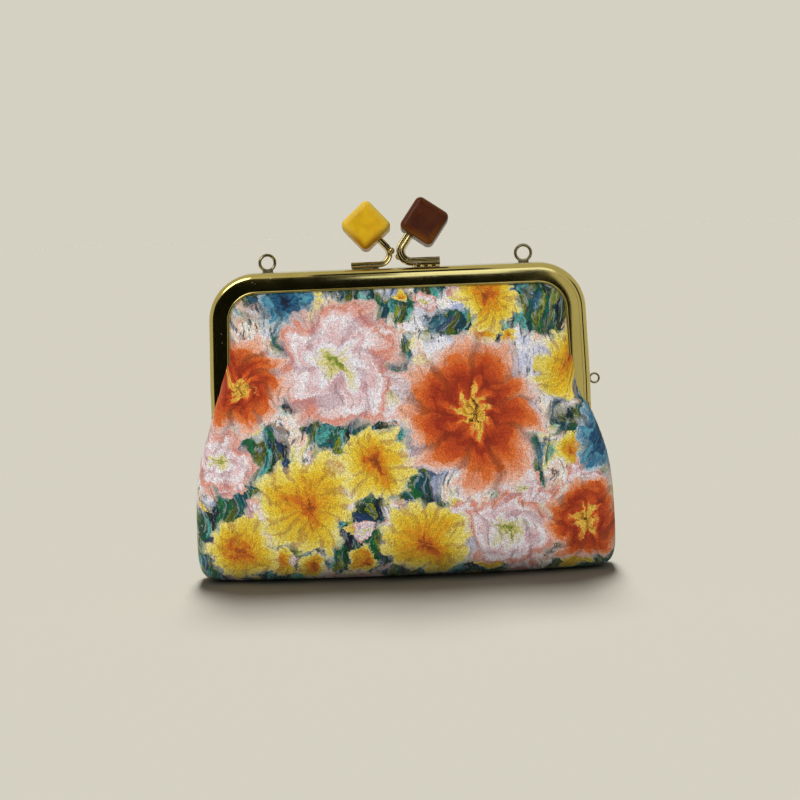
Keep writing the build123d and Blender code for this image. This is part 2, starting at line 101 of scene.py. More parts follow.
def mesh_piece(name, points, faces):
    """A new smooth mesh object from points in millimetres."""
    data = bpy.data.meshes.new(name)
    data.from_pydata([tuple(p) for p in np.asarray(points) * MM], [], faces)
    data.validate()
    made = bpy.data.objects.new(name, data)
    bpy.context.collection.objects.link(made)
    data.shade_smooth()
    return made


# ---------------------------------------------------------------------------------------------
# Camera, light and floor
# ---------------------------------------------------------------------------------------------

IMAGE = 800  # pixels, both ways
PIXELS_PER_MM = 3.02  # at the front frame
SENSOR = 36.0  # mm
DISTANCE = 760.0  # mm from the camera to what it aims at
AIM = Vector((-0.3, 0.0, 57.7))  # mm
ELEVATION = math.radians(5.2)
ROLL = math.radians(-2.3)
CLIP_START = 0.01  # m

# Name, energy, spread in degrees, heading, and whether matt and polished surfaces see each lamp.
LAMPS = (
    ("key_light", 1.95, 30, (0.42, 0.75, -0.62), True, False),
    ("glint_light", 1.1, 30, (0.42, 0.75, -0.62), False, True),
    ("fill_light", 0.5, 30, (0.1, 1.0, -0.08), True, False),
    ("top_light", 1.6, 22, (0.04, -0.42, -1.0), True, False),
    ("floor_light_high", 2.51, 13, (0.0, -0.35, -1.0), True, False),
    ("floor_light_middle", 2.51, 13, (0.0, -0.56, -1.0), True, False),
    ("floor_light_low", 2.51, 13, (0.0, -0.81, -1.0), True, False),
)
SURROUND = "#D5D1C2"  # what the camera and polished surfaces see around the purse
ROOM = "#F4F2EC"  # what lights matt surfaces from all around
ROOM_STRENGTH = 0.36
FLOOR_SIZE = 12  # m
FLOOR_SHADE = "#908D83"  # the floor's lamps light this up to the surround

# Name, size in mm, place in mm, turn in degrees, shade and glow of each studio card.
CARDS = (
    ("dark_card", (380, 280), (-128, -220, 21), (90, 7, 0), "#1A1C17", 0.0),
    ("pale_card", (64, 14), (16, -214, 127), (90, 0, 0), "#DDE4FF", 1.7),
    ("soft_card", (90, 44), (46, -212, 156), (90, 0, 0), "#DDE4FF", 1.7),
    ("clasp_card", (64, 60), (2, -60, 146), (90, 0, 0), "#050504", 0.0),
    ("side_card", (90, 190), (200, -170, 97), (90, 0, 50), "#050504", 0.0),
    ("low_card", (420, 220), (-60, -240, 3), (0, 0, 0), "#050504", 0.0),
)


def make_camera():
    """A long lens a little above the purse, tipped by a hand's unevenness."""
    data = bpy.data.cameras.new("camera")
    data.sensor_width = SENSOR
    data.lens = SENSOR * DISTANCE * PIXELS_PER_MM / IMAGE
    data.clip_start = CLIP_START
    camera = bpy.data.objects.new("camera", data)
    bpy.context.collection.objects.link(camera)
    back = Vector((0.0, -math.cos(ELEVATION), math.sin(ELEVATION)))
    right = Vector((1.0, 0.0, 0.0))
    up = back.cross(right)
    turn = Matrix.Rotation(ROLL, 4, back)
    right.rotate(turn)
    up.rotate(turn)
    place = (AIM + back * DISTANCE) * MM
    camera.matrix_world = Matrix(
        (
            (right.x, up.x, back.x, place.x),
            (right.y, up.y, back.y, place.y),
            (right.z, up.z, back.z, place.z),
            (0.0, 0.0, 0.0, 1.0),
        )
    )
    bpy.context.scene.camera = camera


def make_lamps():
    """A soft key from the upper left front with a twin for its glints on metal, a low fill, a top
    light, and three lamps for the floor."""
    for name, energy, spread, heading, on_matt, on_polish in LAMPS:
        lamp = bpy.data.lights.new(name, "SUN")
        lamp.energy = energy
        lamp.angle = math.radians(spread)
        made = bpy.data.objects.new(name, lamp)
        made.rotation_euler = Vector(heading).to_track_quat("-Z", "Y").to_euler()
        made.visible_diffuse = on_matt
        made.visible_glossy = on_polish
        bpy.context.collection.objects.link(made)


def make_surround():
    """A pale surround for what is seen, straight or in a reflection, and a dimmer room light."""
    world = bpy.data.worlds.new("studio")
    world.use_nodes = True
    tree = world.node_tree
    tree.nodes.clear()
    path = add(tree, "LightPath").outputs
    pale = add(tree, "Background", {"Color": SURROUND, "Strength": 1.0})
    room = add(tree, "Background", {"Color": ROOM, "Strength": ROOM_STRENGTH})
    seen = path["Is Camera Ray"]
    for ray in ("Is Transmission Ray", "Is Glossy Ray"):
        seen = add(tree, "Math", {0: seen, 1: path[ray]}, operation="MAXIMUM")
    mix = add(tree, "MixShader", {0: seen, 1: room, 2: pale})
    add(tree, "OutputWorld", {"Surface": mix})
    bpy.context.scene.world = world
    bpy.context.scene.view_settings.view_transform = "Standard"


def painted_board(name, shade, glow=0.0):
    """Board under matt paint, which shows no highlight, with a lamp behind it where it glows."""
    material, _, shader = new_material(name)
    fill(shader, {"Base Color": shade, "Roughness": 0.9, "Specular IOR Level": 0.0})
    fill(shader, {"Emission Color": shade, "Emission Strength": glow})
    return material


def make_floor():
    """A wide floor lit by lamps of its own and none of the others, so that its shadow is deep."""
    bpy.ops.mesh.primitive_plane_add(size=FLOOR_SIZE, location=(0, 0, 0))
    floor = bpy.context.object
    floor.name = "floor"
    dress(floor, painted_board("pale_board", FLOOR_SHADE))
    for lamp in [made for made in bpy.data.objects if made.type == "LIGHT"]:
        lit = bpy.data.collections.new(lamp.name + "_on_floor")
        lit.objects.link(floor)
        state = "INCLUDE" if "floor" in lamp.name else "EXCLUDE"
        lit.collection_objects[0].light_linking.link_state = state
        lamp.light_linking.receiver_collection = lit


def make_card(name, size, place, turn, shade, glow):
    """A studio card that only polished metal sees."""
    bpy.ops.mesh.primitive_plane_add(size=1, location=Vector(place) * MM)
    card = bpy.context.object
    card.name = name
    card.scale = (size[0] * MM, size[1] * MM, 1)
    card.rotation_euler = [math.radians(angle) for angle in turn]
    dress(card, painted_board(name, shade, glow))
    card.visible_camera = False
    card.visible_diffuse = False
    card.visible_shadow = False
    card.visible_transmission = False


make_camera()
make_lamps()
make_surround()
make_floor()
for card_values in CARDS:
    make_card(*card_values)

# ---------------------------------------------------------------------------------------------
# Cloth
# ---------------------------------------------------------------------------------------------

# All in millimetres.
PRINT_THICKNESS = 0.7
LINING_THICKNESS = 0.4
LINING_INSET = 1.1  # from the print's outer face
MIDDLE_GAP = 0.05  # least distance between a sheet and the purse's middle plane
FLOOR_GAP = 0.02  # least height of the print over the floor
COLUMNS = 200
ROWS = 150

# Rows of the front panel from the frame's slot to the bottom seam, in mm:
# height and depth of the middle; x, depth and height of the edge; x and depth where it turns.
PANEL_ROWS = (
    (98.4, 5.0, 45.5, 5.0, 98.4, 41.0, 5.0),
    (95.4, 5.2, 54.0, 5.0, 95.6, 50.0, 5.2),
    (92.2, 6.7, 57.8, 5.0, 90.5, 53.8, 5.4),
    (86.5, 9.0, 58.6, 5.0, 84.5, 54.2, 5.8),
    (79.0, 11.2, 58.8, 5.0, 78.0, 54.3, 6.2),
    (73.0, 12.5, 58.8, 5.0, 72.5, 54.4, 6.4),
    (68.5, 13.2, 58.8, 5.0, 68.5, 54.6, 6.8),
    (64.5, 13.9, 58.8, 5.2, 65.0, 56.8, 8.4),
    (60.5, 14.7, 58.8, 5.8, 61.5, 60.4, 9.4),
    (55.5, 16.0, 59.6, 6.4, 57.0, 62.2, 10.0),
    (49.0, 17.6, 62.6, 5.4, 52.0, 63.8, 10.2),
    (43.0, 19.2, 64.4, 2.4, 47.0, 66.0, 10.2),
    (36.0, 20.9, 66.6, 0.0, 41.0, 68.0, 10.2),
    (28.0, 22.3, 68.2, 0.0, 32.0, 69.0, 10.4),
    (18.0, 23.2, 68.9, 0.0, 20.0, 69.3, 10.8),
    (9.5, 22.3, 69.1, 0.0, 10.0, 69.3, 10.6),
    (4.0, 18.6, 68.8, 0.0, 4.4, 68.6, 9.0),
    (0.5, 11.8, 67.4, 0.0, 0.6, 65.6, 6.0),
    (0.0, 5.0, 63.0, 0.0, 0.1, 60.0, 3.0),
    (0.0, 0.0, 60.0, 0.0, 0.1, 52.0, 0.0),
)
SWELL = 2.5  # how square the cloth's swell is across the panel
SHARES = (0.9, 0.72, 0.48, 0.24)  # places between the turn and the middle

# The cloth leaves the right arm of the frame lower than the left one.
RELEASE_LAG = 8.4
RELEASE_Z = 70.0  # where it lags most
RELEASE_SPAN = 12.0  # how fast that fades above and below
RELEASE_TOP = 96.0  # no lag from here up
RELEASE_START = 8.0  # height below the top over which it sets in
RELEASE_X = 54.0  # full lag from here out

# Folds seen from the front: their two ends, half width, and height over the cloth.
FOLDS = (
    ((-54, 74), (-62, 46), 3.2, 0.9),
    ((-49, 68), (-58, 36), 3.6, -0.8),
    ((54, 72), (63, 44), 3.2, 0.9),
    ((48, 70), (59, 34), 3.8, -0.8),
    ((-52, 88), (-40, 76), 1.8, -0.35),
    ((53, 90), (38, 79), 1.6, -0.4),
    ((54, 84), (41, 74), 1.5, 0.35),
    ((-30, 92), (-33, 74), 2.6, -0.35),
    ((12, 92), (15, 72), 3.0, -0.4),
    ((38, 91), (35, 76), 2.4, -0.35),
    ((-60, 20), (-30, 12), 4.0, -0.7),
    ((62, 22), (28, 11), 4.4, -0.7),
    ((-16, 14), (26, 9), 4.0, 0.5),
)
FOLD_END = 0.03  # share of a fold's length over which each end stays level
WAVES = 14
WAVE_PITCHES = (16, 44)
WAVE_RISE = 0.0021  # as a share of a wave's pitch
SEAM_X = 68.0
PUCKER_RISE = 0.16  # of the puckers that the side seam draws
PUCKER_PITCH = 5.6
PUCKER_SWAY = 1.7  # radians by which its pitch wanders
PUCKER_DRIFT = 9.0  # height over which it does so
PUCKER_REACH = 6.0  # in from the seam, and down from its top
PUCKER_TOP = 46.0
GRIP_TOP = 93.0  # the frame holds the cloth flat from here up
GRIP_SIDE = 69.0  # and the side seam does from here out
GRIP_FADE = 14.0
REST_HEIGHT = 1.5  # the cloth lies flat below this
REST_FADE = 9.0

SEEDS = {"front": 3, "rear": 8}  # of the unevenness of the front and the rear


def spline_weights(count, samples, top_degree=3):
    """Weights of a clamped B-spline with count control points at even samples."""
    inner = np.linspace(0, 1, count - top_degree + 1)
    knots = np.concatenate((np.zeros(top_degree), inner, np.ones(top_degree)))
    places = np.linspace(0, 1, samples)
    places[-1] -= 1e-9  # keeps the last sample inside the last span
    spans = range(count + top_degree)
    basis = [((places >= knots[i]) & (places < knots[i + 1])).astype(float) for i in spans]
    for degree in range(1, top_degree + 1):
        raised = []
        for i in range(count + top_degree - degree):
            left = knots[i + degree] - knots[i]
            right = knots[i + degree + 1] - knots[i + 1]
            value = np.zeros(samples)
            if left > 0:
                value += (places - knots[i]) / left * basis[i]
            if right > 0:
                value += (knots[i + degree + 1] - places) / right * basis[i + 1]
            raised.append(value)
        basis = raised
    return np.array(basis).T


def release_lag(x, height):
    """How much lower than its mirror image a point right of the middle lies."""
    lag = RELEASE_LAG * math.exp(-(((height - RELEASE_Z) / RELEASE_SPAN) ** 2))
    started = min(1.0, max(0.0, (RELEASE_TOP - height) / RELEASE_START))
    return lag * started * min(1.0, (x / RELEASE_X) ** 2)


def panel_net():
    """Control net of the front panel: rows down the panel, columns from left to right."""
    net = []
    for z, depth, edge_x, edge_depth, edge_z, turn_x, turn_depth in PANEL_ROWS:
        between = ((edge_x + turn_x) / 2, -(edge_depth + turn_depth) / 2, (2 * edge_z + z) / 3)
        turn = (turn_x, -turn_depth, (edge_z + 2 * z) / 3)
        half = [(edge_x, -edge_depth, edge_z), between, turn]
        for share in SHARES:
            swell = 1 - share**SWELL
            half.append((turn_x * share, -(turn_depth + (depth - turn_depth) * swell), z))
        left = [(-x, y, height) for x, y, height in half]
        right = [(x, y, height - release_lag(x, height)) for x, y, height in half]
        net.append(left + [(0.0, -depth, z)] + right[::-1])
    return np.array(net)


def panel_grid():
    """Points of the front panel's outer surface, rows by columns."""
    net = panel_net()
    down = spline_weights(net.shape[0], ROWS)
    across = spline_weights(net.shape[1], COLUMNS)
    return np.einsum("ri,cj,ijk->rck", down, across, net)


def grid_normals(points):
    """Outward normals of a grid that faces the front."""
    down = np.gradient(points, axis=0)
    across = np.gradient(points, axis=1)
    normal = np.cross(down, across)
    length = np.linalg.norm(normal, axis=2, keepdims=True)
    return normal / np.maximum(length, 1e-9)  # no division by zero where points coincide


def ridge(points, start, end, width, height):
    """A soft fold between two points of the front view, rounded off at its ends."""
    start = np.array(start)
    along = np.array(end) - start
    place = points[:, :, (0, 2)] - start
    share = np.clip((place @ along) / (along @ along), 0, 1)
    nearest = share[..., None] * along
    away = np.linalg.norm(place - nearest, axis=2)
    rounded = np.sin(np.pi * np.clip(share, FOLD_END, 1 - FOLD_END)) ** 0.5
    return height * np.exp(-((away / width) ** 2)) * rounded


def fade(inside, width):
    """Rises from 0 to 1 over a width."""
    return np.clip(inside / width, 0, 1)


def slack(points, seed):
    """Folds and gentle unevenness of filled cotton, as a height over the surface."""
    x = points[:, :, 0]
    z = points[:, :, 2]
    rise = np.zeros(x.shape)
    for start, end, width, height in FOLDS:
        rise += ridge(points, start, end, width, height)
    rng = np.random.default_rng(seed)
    for _ in range(WAVES):
        angle = rng.uniform(0, math.pi)
        pitch = rng.uniform(*WAVE_PITCHES)
        phase = rng.uniform(0, 2 * math.pi)
        along = x * math.cos(angle) + z * math.sin(angle)
        rise += WAVE_RISE * pitch * np.sin(2 * math.pi * along / pitch + phase)
    sway = PUCKER_SWAY * np.sin(z / PUCKER_DRIFT + seed)
    pucker = PUCKER_RISE * np.sin(2 * math.pi * z / PUCKER_PITCH + sway)
    near_seam = np.exp(-(((SEAM_X - np.abs(x)) / PUCKER_REACH) ** 2))
    rise += pucker * near_seam * fade(PUCKER_TOP - z, PUCKER_REACH)
    free = fade(GRIP_TOP - z, GRIP_FADE) * fade(GRIP_SIDE - np.abs(x), GRIP_FADE)
    return rise * free * fade(z - REST_HEIGHT, REST_FADE)


def thicken(piece, thickness):
    """Gives a sheet its real thickness on the inside."""
    solid = piece.modifiers.new("thickness", "SOLIDIFY")
    solid.thickness = thickness * MM
    solid.offset = -1
    bpy.context.view_layer.objects.active = piece
    bpy.ops.object.modifier_apply(modifier=solid.name)


def cloth_piece(name, side, inset, thickness):
    """One ply of the purse's front or rear, with a UV map in metres along the cloth."""
    points = panel_grid()
    points = points + grid_normals(points) * slack(points, SEEDS[side])[..., None]
    # Across from the middle, and up from the bottom seam.
    along_x = np.linalg.norm(np.diff(points, axis=1), axis=2)
    u = np.concatenate((np.zeros((ROWS, 1)), np.cumsum(along_x, axis=1)), axis=1)
    u -= u[:, COLUMNS // 2 - 1 : COLUMNS // 2 + 1].mean(axis=1, keepdims=True)
    along_z = np.linalg.norm(np.diff(points, axis=0), axis=2)
    v = np.concatenate((np.zeros((1, COLUMNS)), np.cumsum(along_z, axis=0)))
    v = v[-1] - v
    if inset:
        points = points - grid_normals(points) * inset
    points[:, :, 1] = np.minimum(points[:, :, 1], -MIDDLE_GAP)
    points[:, :, 2] = np.maximum(points[:, :, 2], FLOOR_GAP + inset)
    if side == "rear":
        points[:, :, :2] *= -1
    faces = []
    for r in range(ROWS - 1):
        for c in range(COLUMNS - 1):
            a = r * COLUMNS + c
            faces.append((a, a + COLUMNS, a + COLUMNS + 1, a + 1))
    piece = mesh_piece(name, points.reshape(-1, 3), faces)
    layer = piece.data.uv_layers.new(name="cloth")
    order = np.empty(len(piece.data.loops), dtype=np.int64)
    piece.data.loops.foreach_get("vertex_index", order)
    flat = np.stack((u, v), axis=2).reshape(-1, 2) * MM
    layer.data.foreach_set("uv", flat[order].reshape(-1).astype(np.float32))
    thicken(piece, thickness)
    return piece


front_cloth = cloth_piece("front_cloth", "front", 0, PRINT_THICKNESS)
rear_cloth = cloth_piece("rear_cloth", "rear", 0, PRINT_THICKNESS)
front_lining = cloth_piece("front_lining_cloth", "front", LINING_INSET, LINING_THICKNESS)
rear_lining = cloth_piece("rear_lining_cloth", "rear", LINING_INSET, LINING_THICKNESS)

# ---------------------------------------------------------------------------------------------
# Materials
# ---------------------------------------------------------------------------------------------

# Textures on the CAD's pieces lie in metres, so a noise of scale 100 has patches 10 mm wide.
# On cloth they lie in millimetres, and 0.1 gives the same.
NOISE_LOW = 0.3  # where a noise texture's values start
NOISE_HIGH = 0.7  # and where they end, but for a few
DUST = "#E9E6DA"
DUST_ROUGHNESS = 0.4  # on top of the plate's own
RUBBED = 1.7  # times as rough where the plate is rubbed
CORNER_X = 45.8 * MM  # middle of a jaw's rounded corner
CORNER_Z = 86.0 * MM
FACE_MIDDLE = 11.3 * MM  # middle of a jaw's face, from the middle of its corner
BEAD_HALF = 6.2 * MM
BEAD_TIP = math.radians(8)  # both beads lean to the back


def gold_plate(name, tints, roughness, dents, crown=0.0):
    """Pale gold plated on stamped and polished steel: a mirror, a little uneven, with worn patches
    and dust. Dents are in mm, and the crown is how fast the face falls off from its middle."""
    material, tree, shader = new_material(name)
    place = add(tree, "TexCoord").outputs["Object"]
    haze = add(tree, "TexNoise", {"Vector": place, "Scale": 90.0, "Detail": 4.0})
    # Specks of dust 0.2 mm wide and 1.6 mm apart, in patches.
    dust = add(tree, "TexVoronoi", {"Vector": place, "Scale": 620.0})
    speck = add(tree, "MapRange", {0: dust, 1: 0.05, 2: 0.12, 3: 1.0, 4: 0.0})
    kept = add(tree, "Math", {0: haze, 1: 0.54}, operation="GREATER_THAN")
    dusty = add(tree, "Math", {0: speck, 1: kept}, operation="MULTIPLY")
    worn = add(tree, "Mix", {"Factor": haze, 6: tints[0], 7: tints[1]}, data_type="RGBA")
    skin = add(tree, "Mix", {"Factor": dusty, 6: worn, 7: DUST}, data_type="RGBA")
    rubbed = roughness * RUBBED
    dull = add(tree, "MapRange", {0: haze, 1: NOISE_LOW, 2: NOISE_HIGH, 3: roughness, 4: rubbed})
    rough = add(tree, "Math", {0: dusty, 1: DUST_ROUGHNESS, 2: dull}, operation="MULTIPLY_ADD")
    wave = add(tree, "TexNoise", {"Vector": place, "Scale": 55.0, "Detail": 1.0})
    rise = add(tree, "Math", {0: wave, 1: dents * MM}, operation="MULTIPLY")
    if crown:
        # How far out a point of the jaw's face is, from the middle of the nearer corner.
        x, _, z = add(tree, "SeparateXYZ", {0: place}).outputs
        side = add(tree, "Math", {0: x}, operation="ABSOLUTE")
        past = []
        for reach, corner in ((side, CORNER_X), (z, CORNER_Z)):
            over = add(tree, "Math", {0: reach, 1: corner}, operation="SUBTRACT")
            past.append(add(tree, "Math", {0: over, 1: 0.0}, operation="MAXIMUM"))
        both = add(tree, "CombineXYZ", {0: past[0], 1: past[1]})
        out = add(tree, "VectorMath", {0: both}, operation="LENGTH")
        off = add(tree, "Math", {0: out, 1: FACE_MIDDLE}, operation="SUBTRACT")
        drop = add(tree, "Math", {0: off, 1: 2.0}, operation="POWER")
        rise = add(tree, "Math", {0: drop, 1: -crown, 2: rise}, operation="MULTIPLY_ADD")
    bump = add(tree, "Bump", {"Height": rise, "Distance": 1.0, "Strength": 1.0})
    fill(shader, {"Base Color": skin, "Roughness": rough, "Normal": bump, "Metallic": 1.0})
    return material


def cast_resin(name, centre, turn, body_tints, painted_rim_tint, painted_underside_tint):
    """Cast resin, tumbled smooth: soft highlights on a cloudy body, and painted light and shade
    along the edges: a rim tint above, fading into an underside tint below."""
    material, tree, shader = new_material(name)
    place = add(tree, "TexCoord").outputs["Object"]
    moved = add(tree, "VectorMath", {0: place, 1: Vector(centre) * MM}, operation="SUBTRACT")
    tilt = (BEAD_TIP, -math.radians(turn), 0)
    turned = add(
        tree, "VectorRotate", {"Vector": moved, "Rotation": tilt}, rotation_type="EULER_XYZ"
    )
    # How near an edge: the second largest of a point's distances from the bead's middle planes.
    sides = add(tree, "VectorMath", {0: turned}, operation="ABSOLUTE")
    x, y, z = add(tree, "SeparateXYZ", {0: sides}).outputs
    pairs = [
        add(tree, "Math", {0: a, 1: b}, operation="MINIMUM") for a, b in ((x, y), (y, z), (x, z))
    ]
    near = pairs[0]
    for pair in pairs[1:]:
        near = add(tree, "Math", {0: near, 1: pair}, operation="MAXIMUM")
    edge = add(tree, "MapRange", {0: near, 1: BEAD_HALF * 0.6, 2: BEAD_HALF * 0.95})
    # Painted light and shade: the edges take the rim tint at the top and fade to the underside
    # tint towards the bottom.
    height = add(tree, "SeparateXYZ", {0: moved}).outputs[2]
    low = add(tree, "MapRange", {0: height, 1: BEAD_HALF * 0.1, 2: BEAD_HALF * -0.7})
    cloud = add(
        tree, "TexNoise", {"Vector": place, "Scale": 170.0, "Detail": 3.0, "Distortion": 0.8}
    )
    body = add(tree, "ValToRGB", {"Fac": cloud})
    set_stops(body, list(zip((0.3, 0.5, 0.7), body_tints)))
    painted_rim = add(tree, "Mix", {"Factor": low, 6: painted_rim_tint, 7: painted_underside_tint}, data_type="RGBA")
    skin = add(tree, "Mix", {"Factor": edge, 6: body, 7: painted_rim}, data_type="RGBA")
    rub = add(tree, "TexNoise", {"Vector": place, "Scale": 420.0, "Detail": 3.0})
    rough = add(tree, "MapRange", {0: rub, 1: NOISE_LOW, 2: NOISE_HIGH, 3: 0.26, 4: 0.42})
    bump = add(tree, "Bump", {"Height": cloud, "Distance": 0.08 * MM})
    fill(shader, {"Base Color": skin, "Roughness": rough, "Normal": bump})
    fill(shader, {"Specular IOR Level": 0.16})
    fill(shader, {"Subsurface Weight": 0.25, "Subsurface Scale": 2 * MM})
    return material


# How much a bloom's outline follows its petals and its uneven lobes.
PETAL_WEIGHT = -0.07
LOBE_WEIGHT = 0.5


def bloom_kind(name, petals, twist, ragged, vein, tints):
    """A kind of painted flower: a node group that lays one bloom over the colour under it.
    Its tints run from the eye out to the petals' tips."""
    tree = bpy.data.node_groups.new(name, "ShaderNodeTree")
    for label, kind in (
        ("Under", "Color"),
        ("Place", "Vector"),
        ("Centre", "Vector"),
        ("Radius", "Float"),
        ("Turn", "Float"),
    ):
        tree.interface.new_socket(label, in_out="INPUT", socket_type="NodeSocket" + kind)
    tree.interface.new_socket("Colour", in_out="OUTPUT", socket_type="NodeSocketColor")
    given = add(tree, "NodeGroupInput").outputs
    own_turn = given["Turn"]
    away = add(tree, "VectorMath", {0: given["Place"], 1: given["Centre"]}, operation="SUBTRACT")
    span = add(tree, "VectorMath", {0: away}, operation="LENGTH")
    reach = add(tree, "Math", {0: span, 1: given["Radius"]}, operation="DIVIDE")
    # Petals: lobes around the flower, twisted as they reach out.
    x, y, _ = add(tree, "SeparateXYZ", {0: away}).outputs
    angle = add(tree, "Math", {0: y, 1: x}, operation="ARCTAN2")
    curl = add(tree, "Math", {0: reach, 1: twist, 2: angle}, operation="MULTIPLY_ADD")
    turned = add(tree, "Math", {0: curl, 1: own_turn}, operation="ADD")
    wave = add(tree, "Math", {0: turned, 1: petals}, operation="MULTIPLY")
    petal = add(tree, "Math", {0: wave}, operation="COSINE")
    # Brush streaks, drawn out from the eye, and an outline that is not quite round.
    heading = add(tree, "VectorMath", {0: away}, operation="NORMALIZE")
    spread = add(tree, "VectorMath", {0: heading, 3: 2.6}, operation="SCALE")
    drawn = add(tree, "Math", {0: reach, 1: 1.1, 2: own_turn}, operation="MULTIPLY_ADD")
    streak = add(
        tree,
        "TexNoise",
        {"Vector": spread, "W": drawn, "Scale": 2.2, "Detail": 3.0, "Roughness": 0.62},
        noise_dimensions="4D",
    )
    lobe = add(
        tree,
        "TexNoise",
        {"Vector": heading, "W": own_turn, "Scale": 1.3, "Detail": 1.0},
        noise_dimensions="4D",
    )
    level = reach
    for part, weight in ((petal, PETAL_WEIGHT), (lobe, LOBE_WEIGHT), (streak, ragged)):
        level = add(tree, "Math", {0: part, 1: weight, 2: level}, operation="MULTIPLY_ADD")
    mean = (LOBE_WEIGHT + ragged) / 2  # of the two noises
    level = add(tree, "Math", {0: level, 1: mean}, operation="SUBTRACT")
    paint = add(tree, "ValToRGB", {"Fac": level})
    set_stops(paint, tints)
    # Veins of darker paint between the petals.
    valley = add(tree, "MapRange", {0: petal, 1: -0.45, 2: -1.0, 3: 0.0, 4: 0.55})
    mid = add(tree, "MapRange", {0: level, 1: 0.18, 2: 0.5})
    line = add(tree, "Math", {0: valley, 1: mid}, operation="MULTIPLY")
    shade = add(tree, "Mix", {"Factor": line, 6: paint, 7: vein}, data_type="RGBA")
    cover = add(tree, "MapRange", {0: level, 1: 0.9, 2: 1.04, 3: 1.0, 4: 0.0})
    laid = add(tree, "Mix", {"Factor": cover, 6: given["Under"], 7: shade}, data_type="RGBA")
    add(tree, "NodeGroupOutput", {"Colour": laid})
    return tree


DAHLIA = bloom_kind("dahlia", 9.0, 0.5, 0.3, "#6E1A06", (
    (0.0, "#4A2A0A"), (0.08, "#D2921A"), (0.17, "#EFCB55"), (0.26, "#D9581A"), (0.42, "#9A2A0C"),
    (0.58, "#C94E18"), (0.72, "#E27430"), (0.86, "#F0B498"), (1.0, "#F0E4EA"),
))
MUM = bloom_kind("chrysanthemum", 13.0, 0.3, 0.38, "#A65210", (
    (0.0, "#7A3E08"), (0.16, "#CE6414"), (0.34, "#E09C18"), (0.6, "#EAC832"), (0.85, "#F2E070"),
    (1.0, "#F4EEC0"),
))
PEONY = bloom_kind("peony", 6.0, 1.6, 0.36, "#B07A88", (
    (0.0, "#7E902A"), (0.12, "#E0D488"), (0.32, "#F2EFF8"), (0.5, "#E6BFC2"), (0.66, "#F5F0F6"),
    (0.84, "#E0907A"), (1.0, "#F0DCD8"),
))
ANEMONE = bloom_kind("anemone", 8.0, 0.6, 0.56, "#061A38", (
    (0.0, "#081626"), (0.2, "#0A2448"), (0.34, "#2A6E92"), (0.44, "#0E3A66"), (0.62, "#5FA6BC"),
    (0.74, "#2C6C94"), (0.9, "#A9CCDA"), (1.0, "#DDE2F0"),
))
GROUND_TINTS = (
    (0.28, "#6F94C4"), (0.36, "#C6CAE8"), (0.42, "#F2F0FA"), (0.48, "#F5EEE2"), (0.53, "#F0BEA4"),
    (0.57, "#F3EEF6"), (0.63, "#EEE08A"), (0.7, "#6CBBA8"),
)
LEAF_TINTS = (
    (0.05, "#07152E"), (0.2, "#0B505C"), (0.38, "#0F6230"), (0.52, "#08291E"), (0.68, "#84901C"),
    (0.8, "#153466"), (0.95, "#4FA29C"),
)
# Kind, middle across and up the front, radius, and turn of each large bloom, from the lowest
# coat up. The turn is in radians and the rest in mm, up from where the front starts to rise.
BLOOMS = (
    (ANEMONE, -36, 90, 10, 0.3),
    (ANEMONE, 67, 40, 11, 1.2),
    (PEONY, -20, 68, 21, 0.4),
    (PEONY, 33, 10, 14, 2.1),
    (DAHLIA, -53, 62, 17, 1.0),
    (MUM, 59, 66, 14, 0.6),
    (MUM, -9, 34, 12, 1.9),
    (MUM, 6, 9, 14, 0.2),
    (DAHLIA, 24, 50, 25, 2.6),
    (MUM, 30, 88, 11, 1.1),
    (MUM, -32, 21, 16, 2.4),
    (MUM, -54, 7, 12, 0.9),
    (DAHLIA, 60, 12, 15, 0.5),
    (PEONY, -60, 36, 11, 1.7),
)
# Kind, distance apart and radius in mm of the small blooms strewn under them, and where their
# pattern starts.
STREWN = ((MUM, 17.0, 5.5, 40.0), (PEONY, 23.0, 8.0, 0.0))


def dry_strokes(tree, place, under, lean, cut, tint, weight):
    """Short strokes of a nearly dry brush, all leaning one way, over the colour under them.
    The higher the cut, the fewer they are."""
    drag = add(
        tree,
        "Mapping",
        {
            "Vector": place,
            "Location": (cut * 90, lean * 40, 0),  # so that no two coats fall together
            "Rotation": (0, 0, lean),
            "Scale": (0.75, 0.2, 1),
        },
    )
    bristle = add(
        tree,
        "TexNoise",
        {"Vector": drag, "Scale": 1.0, "Detail": 4.0, "Roughness": 0.7},
        noise_dimensions="2D",
    )
    mark = add(tree, "MapRange", {0: bristle, 1: cut, 2: cut + 0.05, 3: 0.0, 4: weight})
    return add(tree, "Mix", {"Factor": mark, 6: under, 7: tint}, data_type="RGBA")


BEND = 9  # mm by which the brush wanders slowly
FRAY = 3  # mm by which its dabs fray
# A wave texture's bands lie 0.314 / scale apart: 0.26 mm for the print's threads, as in real
# print cotton, and 0.31 mm for the lining's.
PRINT_WEAVE = 1 / 0.84
LINING_WEAVE = 1.0


def plain_weave(tree, place, inputs):
    """Warp and weft threads, as a height."""
    warp, weft = [
        add(tree, "TexWave", {"Vector": place, **inputs}, bands_direction=way).outputs[1]
        for way in ("X", "Y")
    ]
    return add(tree, "Math", {0: warp, 1: weft}, operation="ADD")


